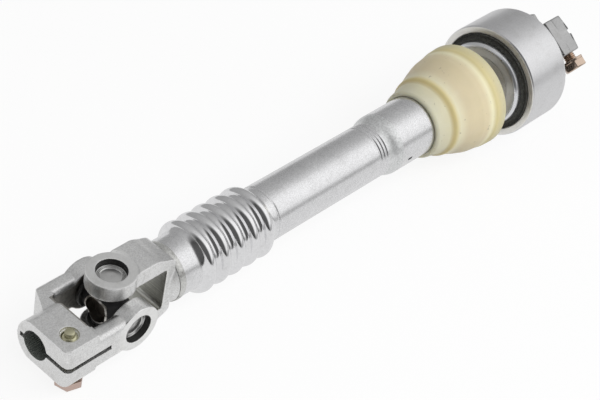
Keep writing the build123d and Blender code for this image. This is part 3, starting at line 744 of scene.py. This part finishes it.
# Crosses
# Each is a black oxide forging with a hollow hub and four ground trunnions. The trunnions
# run in the bearing cups, so little more than the hub and its worn rims is seen.
hub_recess_r = 6.95
cross_fineness = {"front": 0.3, "rear": 0.42}
black_steel = steel("black_cross_skin", (0.035, 0.035, 0.037), 0.42, stain=(0.10, 0.095, 0.09),
                    stain_amount=0.4, grain=900.0, depth=0.00002, metallic=0.3)
rim_steel = steel("worn_hub_rim", (0.62, 0.60, 0.57), 0.28, stain=(0.2, 0.17, 0.14),
                  stain_amount=0.3, grain=900.0, depth=0.00001)
hub_steel = steel("worn_hub_side", (0.30, 0.29, 0.27), 0.34, stain=(0.08, 0.07, 0.06),
                  stain_amount=0.5, grain=900.0, depth=0.00001)
recess_steel = steel("hub_recess", (0.10, 0.085, 0.07), 0.36, stain=(0.03, 0.03, 0.03),
                     stain_amount=0.5, grain=900.0, depth=0.00001, metallic=0.7)


def cross_finish(at, facing):
    """Which of the finishes a face of a cross has"""
    away = math.hypot(at.y, at.z)
    if away < 7.9 and abs(at.x) > 6.9 and abs(facing.x) > 0.5:
        return 1
    if away < 6.9:
        return 3
    return 2 if away < 8.0 and abs(at.x) > 4.4 else 0


for end in ("front", "rear"):
    place = joint_places[end]
    blank = worked_copy(f"{end}_cross", cross_fineness[end], 3)
    tools = []
    for side in (-1, 1):
        recess_place = place @ Matrix.Translation((side * 7.3, 0, 0)) @ along_x
        tool = rod(hub_recess_r, 8.0, recess_place)
        tools.append(cut_with(blank, tool, f"{end}_hub_tool_{side}"))
    graph = bpy.context.evaluated_depsgraph_get()
    graph.update()
    mesh = bpy.data.meshes.new_from_object(blank.evaluated_get(graph))
    for tool in tools + [blank]:
        bpy.data.objects.remove(tool)
    mesh.materials.clear()
    for finish in (black_steel, rim_steel, hub_steel, recess_steel):
        mesh.materials.append(finish)
    back = (Matrix.Translation((cross_x, 0, 0)) @ place).inverted()
    turn_back = back.to_3x3()
    mesh.polygons.foreach_set(
        "material_index",
        [cross_finish(back @ (f.center / mm), turn_back @ f.normal) for f in mesh.polygons],
    )
    mesh.polygons.foreach_set("use_smooth", [True] * len(mesh.polygons))
    mesh.set_sharp_from_angle(angle=math.radians(38))
    piece = bpy.data.objects.new(f"{end}_cross_skin", mesh)
    bpy.context.scene.collection.objects.link(piece)
    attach(piece, cross_bodies[end])
    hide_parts(f"{end}_cross")

# Bearing cups, seals and rollers
# Each ear holds a drawn steel cup with a dished floor, pressed in below the ear's face.
# A black rubber seal closes its mouth on the cross.
cup_steel = steel("cup_steel_skin", (0.66, 0.66, 0.65), 0.30, stain=(0.12, 0.11, 0.10),
                  stain_amount=0.3, grain=1100.0, depth=0.00001)
seal_rubber = bpy.data.materials.new("seal_rubber_skin")
seal_rubber.use_nodes = True
nodes, links = seal_rubber.node_tree.nodes, seal_rubber.node_tree.links
shader = nodes["Principled BSDF"]
seal_noise = nodes.new("ShaderNodeTexNoise")
seal_noise.inputs["Scale"].default_value = 800
seal_coord = nodes.new("ShaderNodeTexCoord")
links.new(seal_coord.outputs["Object"], seal_noise.inputs["Vector"])
seal_ramp = nodes.new("ShaderNodeValToRGB")
seal_ramp.color_ramp.elements[0].color = (0.010, 0.010, 0.010, 1)
seal_ramp.color_ramp.elements[1].color = (0.045, 0.045, 0.043, 1)
links.new(seal_noise.outputs["Fac"], seal_ramp.inputs["Fac"])
links.new(seal_ramp.outputs["Color"], shader.inputs["Base Color"])
seal_rough = nodes.new("ShaderNodeMapRange")
seal_rough.inputs["To Min"].default_value = 0.4
seal_rough.inputs["To Max"].default_value = 0.6
links.new(seal_noise.outputs["Fac"], seal_rough.inputs["Value"])
links.new(seal_rough.outputs["Result"], shader.inputs["Roughness"])
roller_steel = steel("roller_skin", (0.66, 0.66, 0.67), 0.18, stain_amount=0.05)
x_to_z = Matrix.Rotation(math.radians(-90), 4, "Y")
ear_turns = {
    "top": x_to_z,
    "bottom": Matrix.Rotation(math.radians(180), 4, "X") @ x_to_z,
    "left": Matrix.Rotation(math.radians(-90), 4, "X") @ x_to_z,
    "right": Matrix.Rotation(math.radians(90), 4, "X") @ x_to_z,
}
cup_outline = softened(
    [
        (12.6, 6.75), (12.6, 8.0), (18.9, 8.0), (18.9, 7.2), (18.2, 6.9), (18.2, 6.5),
        (18.75, 6.2), (18.75, 5.9), (18.35, 5.5), (18.6, 3.0), (18.7, 0.02), (17.5, 0.02),
        (17.5, 6.75),
    ],
    0.35,
    3,
)
seal_outline = softened(
    [
        (10.9, 4.92), (10.9, 9.1), (11.3, 9.5), (12.7, 9.5), (13.1, 9.1), (13.1, 8.3),
        (12.3, 8.3), (12.3, 4.92),
    ],
    0.25,
    2,
)
for end in ("front", "rear"):
    for side, ear_turn in ear_turns.items():
        place = joint_places[end] @ ear_turn
        cup_body = "shaft" if side in ("top", "bottom") else clamp_bodies[end]
        name = f"{end}_cup_{side}"
        finished(name + "_skin", turned(cup_outline, 96), cup_body, cup_steel,
                 [name], place)
        name = f"{end}_seal_{side}"
        finished(name + "_skin", turned(seal_outline, 72), cross_bodies[end],
                 seal_rubber, [name], place)
        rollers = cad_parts[f"{end}_rollers_{side}"]
        rollers.data.materials.clear()
        rollers.data.materials.append(roller_steel)

# Pinch bolts
# M8 hexagon bolts. The front one has a pink copper head below and a yellow zinc tip on
# top, the rear one is brown copper, stands a little way out and has a washer.
pink_copper = steel("pink_copper_skin", (0.64, 0.49, 0.43), 0.34, stain=(0.35, 0.22, 0.16),
                    stain_amount=0.3, grain=900.0)
brown_copper = steel("brown_copper_skin", (0.66, 0.52, 0.42), 0.22, stain=(0.16, 0.09, 0.06),
                     stain_amount=0.5, grain=900.0)
yellow_zinc = steel("yellow_zinc_skin", (0.62, 0.60, 0.42), 0.30, stain=(0.3, 0.28, 0.15),
                    stain_amount=0.3, grain=900.0)
thread_pitch = 1.25
shank_r, thread_root_r = 3.95, 3.3
head_across = 13.0


def bolt_outline(tip, thread_from):
    """Shank, thread and pilot point of a bolt as (height, radius) points"""
    points = [(-0.2, 0.02), (-0.2, shank_r), (thread_from, shank_r)]
    height = thread_from
    while height + thread_pitch < tip - 4.2:
        points += [(height + 0.45, thread_root_r), (height + 0.7, thread_root_r)]
        points += [(height + 1.15, shank_r)]
        height += thread_pitch
    points += [(tip - 3.9, 3.9), (tip - 3.1, 3.1), (tip - 2.9, 2.65), (tip - 0.9, 2.6)]
    points += [(tip - 0.35, 2.45), (tip - 0.05, 1.9), (tip, 0.02)]
    return points


def hexagon_head(low, high, turn):
    """A hexagon head with its outer corners turned off"""
    bm = bmesh.new()
    corner_r = head_across / 2 / math.cos(math.pi / 6)
    bmesh.ops.create_circle(bm, cap_ends=True, radius=corner_r, segments=6)
    bmesh.ops.rotate(bm, cent=(0, 0, 0), matrix=Matrix.Rotation(turn, 3, "Z"), verts=bm.verts)
    whole = bmesh.ops.extrude_face_region(bm, geom=bm.faces[:])
    lifted = [g for g in whole["geom"] if isinstance(g, bmesh.types.BMVert)]
    bmesh.ops.translate(bm, vec=(0, 0, high - low), verts=lifted)
    bmesh.ops.translate(bm, vec=(0, 0, low), verts=bm.verts)
    bmesh.ops.recalc_face_normals(bm, faces=bm.faces)
    outer = [e for e in bm.edges if all(abs(v.co.z - low) < 1e-4 for v in e.verts)]
    bmesh.ops.bevel(bm, geom=outer, offset=0.9, affect="EDGES", segments=3, profile=0.5,
                    material=-1)
    upright = [e for e in bm.edges if abs(e.verts[0].co.z - e.verts[1].co.z) > 2]
    bmesh.ops.bevel(bm, geom=upright, offset=0.35, affect="EDGES", segments=2, profile=0.5,
                    material=-1)
    return bm


def bolt(name, body, head_finish, shank_finish, replaced, place, head, tip,
         thread_from, turn):
    """One bolt: head and threaded shank as a single piece in two finishes"""
    shank = turned(bolt_outline(tip, thread_from), 64)
    bmesh.ops.transform(shank, matrix=x_to_z, verts=shank.verts)
    for face in shank.faces:
        face.material_index = 1
    low_mesh = bpy.data.meshes.new(name + "_shank")
    shank.to_mesh(low_mesh)
    shank.free()
    bm = hexagon_head(head[0], head[1], math.radians(turn))
    bm.from_mesh(low_mesh)
    bpy.data.meshes.remove(low_mesh)
    piece = finished(name, bm, body, head_finish, replaced, place, 35)
    piece.data.materials.append(shank_finish)


front_bolt_tip = Vector((-36.7, -12.4, 14.0))
front_bolt_place = (
    Matrix.Translation(front_bolt_tip)
    @ Matrix.Rotation(math.radians(3.4), 4, Vector((-1.6, -1.3, 0)))
    @ Matrix.Translation((0, 0, -29.6))
)
bolt(
    "front_bolt_skin", "front_clamp_body", pink_copper, yellow_zinc,
    ["front_pinch_bolt"], front_bolt_place, (-4.8, 0.0), 29.6, 8.0, 12.0,
)
rear_bolt_place = (
    rear_matrix
    @ Matrix.Translation((-33.5, 15.9, 12.4))
    @ Matrix.Rotation(math.radians(90), 4, "X")
)
bolt(
    "rear_bolt_skin", "rear_clamp_body", brown_copper, brown_copper,
    ["rear_pinch_bolt"], rear_bolt_place, (-6.5, -1.7), 25.8, 0.4, 20.0,
)
washer_outline = softened([(-1.7, 4.0), (-1.7, 7.1), (0, 7.2), (0, 4.0)], 0.4, 3)
finished(
    "rear_washer_skin", turned(washer_outline, 96), "rear_clamp_body",
    brown_copper, ["rear_bolt_washer"], rear_bolt_place @ x_to_z,
)

# Floor
# A plain pale floor on which the ring and the front tube yoke's lower ear rest. It is part of the
# studio and is fixed to no body.
ring_foot = Vector(((cross_x + 309.3) * mm, 0, -35.4 * mm))
ear_foot = Vector(((cross_x - 12.9) * mm, 0, -22.4 * mm))
slope = math.atan2(ear_foot.z - ring_foot.z, ring_foot.x - ear_foot.x)
bm = bmesh.new()
bmesh.ops.create_grid(bm, x_segments=1, y_segments=1, size=6.0)
bmesh.ops.rotate(bm, cent=(0, 0, 0), matrix=Matrix.Rotation(slope, 3, "Y"), verts=bm.verts)
bmesh.ops.translate(bm, vec=ring_foot, verts=bm.verts)
floor_mesh = bpy.data.meshes.new("floor")
bm.to_mesh(floor_mesh)
bm.free()
floor = bpy.data.objects.new("floor", floor_mesh)
bpy.context.scene.collection.objects.link(floor)
floor_paint = bpy.data.materials.new("floor_paint")
floor_paint.use_nodes = True
nodes, links = floor_paint.node_tree.nodes, floor_paint.node_tree.links
shader = nodes["Principled BSDF"]
shader.inputs["Base Color"].default_value = (0.9, 0.9, 0.9, 1)
shader.inputs["Roughness"].default_value = 0.9
shader.inputs["Specular IOR Level"].default_value = 0.0
white = nodes.new("ShaderNodeEmission")
white.inputs["Strength"].default_value = 1.0
path = nodes.new("ShaderNodeLightPath")
mirrored = nodes.new("ShaderNodeEmission")
mirrored.inputs["Color"].default_value = (0.76, 0.76, 0.76, 1)
glossy_share = nodes.new("ShaderNodeMath")
glossy_share.operation = "MULTIPLY"
glossy_share.inputs[1].default_value = 0.9
links.new(path.outputs["Is Glossy Ray"], glossy_share.inputs[0])
glossy_blend = nodes.new("ShaderNodeMixShader")
links.new(glossy_share.outputs[0], glossy_blend.inputs["Fac"])
links.new(shader.outputs["BSDF"], glossy_blend.inputs[1])
links.new(mirrored.outputs["Emission"], glossy_blend.inputs[2])
seen = nodes.new("ShaderNodeMath")
seen.operation = "MAXIMUM"
links.new(path.outputs["Is Camera Ray"], seen.inputs[0])
links.new(path.outputs["Is Transmission Ray"], seen.inputs[1])
camera_share = nodes.new("ShaderNodeMath")
camera_share.operation = "MULTIPLY"
camera_share.inputs[1].default_value = 0.88
links.new(seen.outputs[0], camera_share.inputs[0])
blend = nodes.new("ShaderNodeMixShader")
links.new(camera_share.outputs[0], blend.inputs["Fac"])
links.new(glossy_blend.outputs["Shader"], blend.inputs[1])
links.new(white.outputs["Emission"], blend.inputs[2])
links.new(blend.outputs["Shader"], nodes["Material Output"].inputs["Surface"])
floor_mesh.materials.append(floor_paint)

# Light and camera
# A soft studio tent: bright above the near side, falling off to the far side and dim
# behind the camera, with two soft boxes. The camera stands at the photograph's angle.
world = bpy.data.worlds.new("studio")
bpy.context.scene.world = world
world.use_nodes = True
nodes, links = world.node_tree.nodes, world.node_tree.links
sky = nodes["Background"]
way = nodes.new("ShaderNodeTexCoord")
way_parts = nodes.new("ShaderNodeSeparateXYZ")
links.new(way.outputs["Generated"], way_parts.inputs[0])
rise = nodes.new("ShaderNodeMath")
rise.operation = "ARCTAN2"
links.new(way_parts.outputs["Z"], rise.inputs[0])
links.new(way_parts.outputs["Y"], rise.inputs[1])
rise_share = nodes.new("ShaderNodeMapRange")
rise_share.inputs["From Max"].default_value = math.pi
links.new(rise.outputs[0], rise_share.inputs["Value"])
tent = nodes.new("ShaderNodeValToRGB")
tent.color_ramp.elements[0].color = (0.36, 0.36, 0.36, 1)
tent.color_ramp.elements[1].color = (0.36, 0.36, 0.36, 1)
for spot, level in (
    (0.17, 0.37), (0.37, 0.48), (0.49, 0.68), (0.57, 0.94), (0.72, 1.04), (0.91, 0.92),
    (0.96, 0.42),
):
    tent.color_ramp.elements.new(spot).color = (level, level, level, 1)
links.new(rise_share.outputs["Result"], tent.inputs["Fac"])
toward_camera = nodes.new("ShaderNodeVectorMath")
toward_camera.operation = "DOT_PRODUCT"
toward_camera.inputs[1].default_value = (-0.68, -0.58, 0.45)
links.new(way.outputs["Generated"], toward_camera.inputs[0])
behind = nodes.new("ShaderNodeMapRange")
behind.inputs["From Min"].default_value = 0.50
behind.inputs["From Max"].default_value = 0.78
behind.inputs["To Min"].default_value = 1.0
behind.inputs["To Max"].default_value = 0.10
links.new(toward_camera.outputs["Value"], behind.inputs["Value"])
links.new(tent.outputs["Color"], sky.inputs["Color"])
links.new(behind.outputs["Result"], sky.inputs["Strength"])
backdrop = nodes.new("ShaderNodeBackground")
backdrop.inputs["Color"].default_value = (1, 1, 1, 1)
world_path = nodes.new("ShaderNodeLightPath")
world_mix = nodes.new("ShaderNodeMixShader")
links.new(world_path.outputs["Is Camera Ray"], world_mix.inputs["Fac"])
links.new(sky.outputs["Background"], world_mix.inputs[1])
links.new(backdrop.outputs["Background"], world_mix.inputs[2])
links.new(world_mix.outputs["Shader"], nodes["World Output"].inputs["Surface"])


def soft_box(name, spot, target, width, height, power):
    """A rectangular studio lamp that no polished face mirrors"""
    lamp = bpy.data.lights.new(name, "AREA")
    lamp.shape = "RECTANGLE"
    lamp.size = width
    lamp.size_y = height
    lamp.energy = power
    holder = bpy.data.objects.new(name, lamp)
    bpy.context.scene.collection.objects.link(holder)
    holder.location = spot
    holder.rotation_euler = (Vector(target) - Vector(spot)).to_track_quat("-Z", "Y").to_euler()
    holder.visible_glossy = False


soft_box("key_box", (0.1, -0.9, 1.3), (0.2, 0, 0), 1.6, 1.0, 15)
soft_box("side_box", (1.3, -0.8, 0.5), (0.25, 0, 0), 0.8, 0.8, 4)

camera_data = bpy.data.cameras.new("photo_camera")
camera_data.sensor_width = 36.0
camera_data.lens = 99.79
camera_data.clip_start = 0.01
camera_data.clip_end = 20.0
camera = bpy.data.objects.new("photo_camera", camera_data)
bpy.context.scene.collection.objects.link(camera)
camera.matrix_world = Matrix(
    (
        (0.670811, 0.396899, -0.626485, -0.381083),
        (-0.722845, 0.538822, -0.432627, -0.393608),
        (0.165855, 0.743063, 0.648344, 0.581655),
        (0, 0, 0, 1),
    )
)
bpy.context.scene.camera = camera
bpy.context.scene.view_settings.view_transform = "Standard"
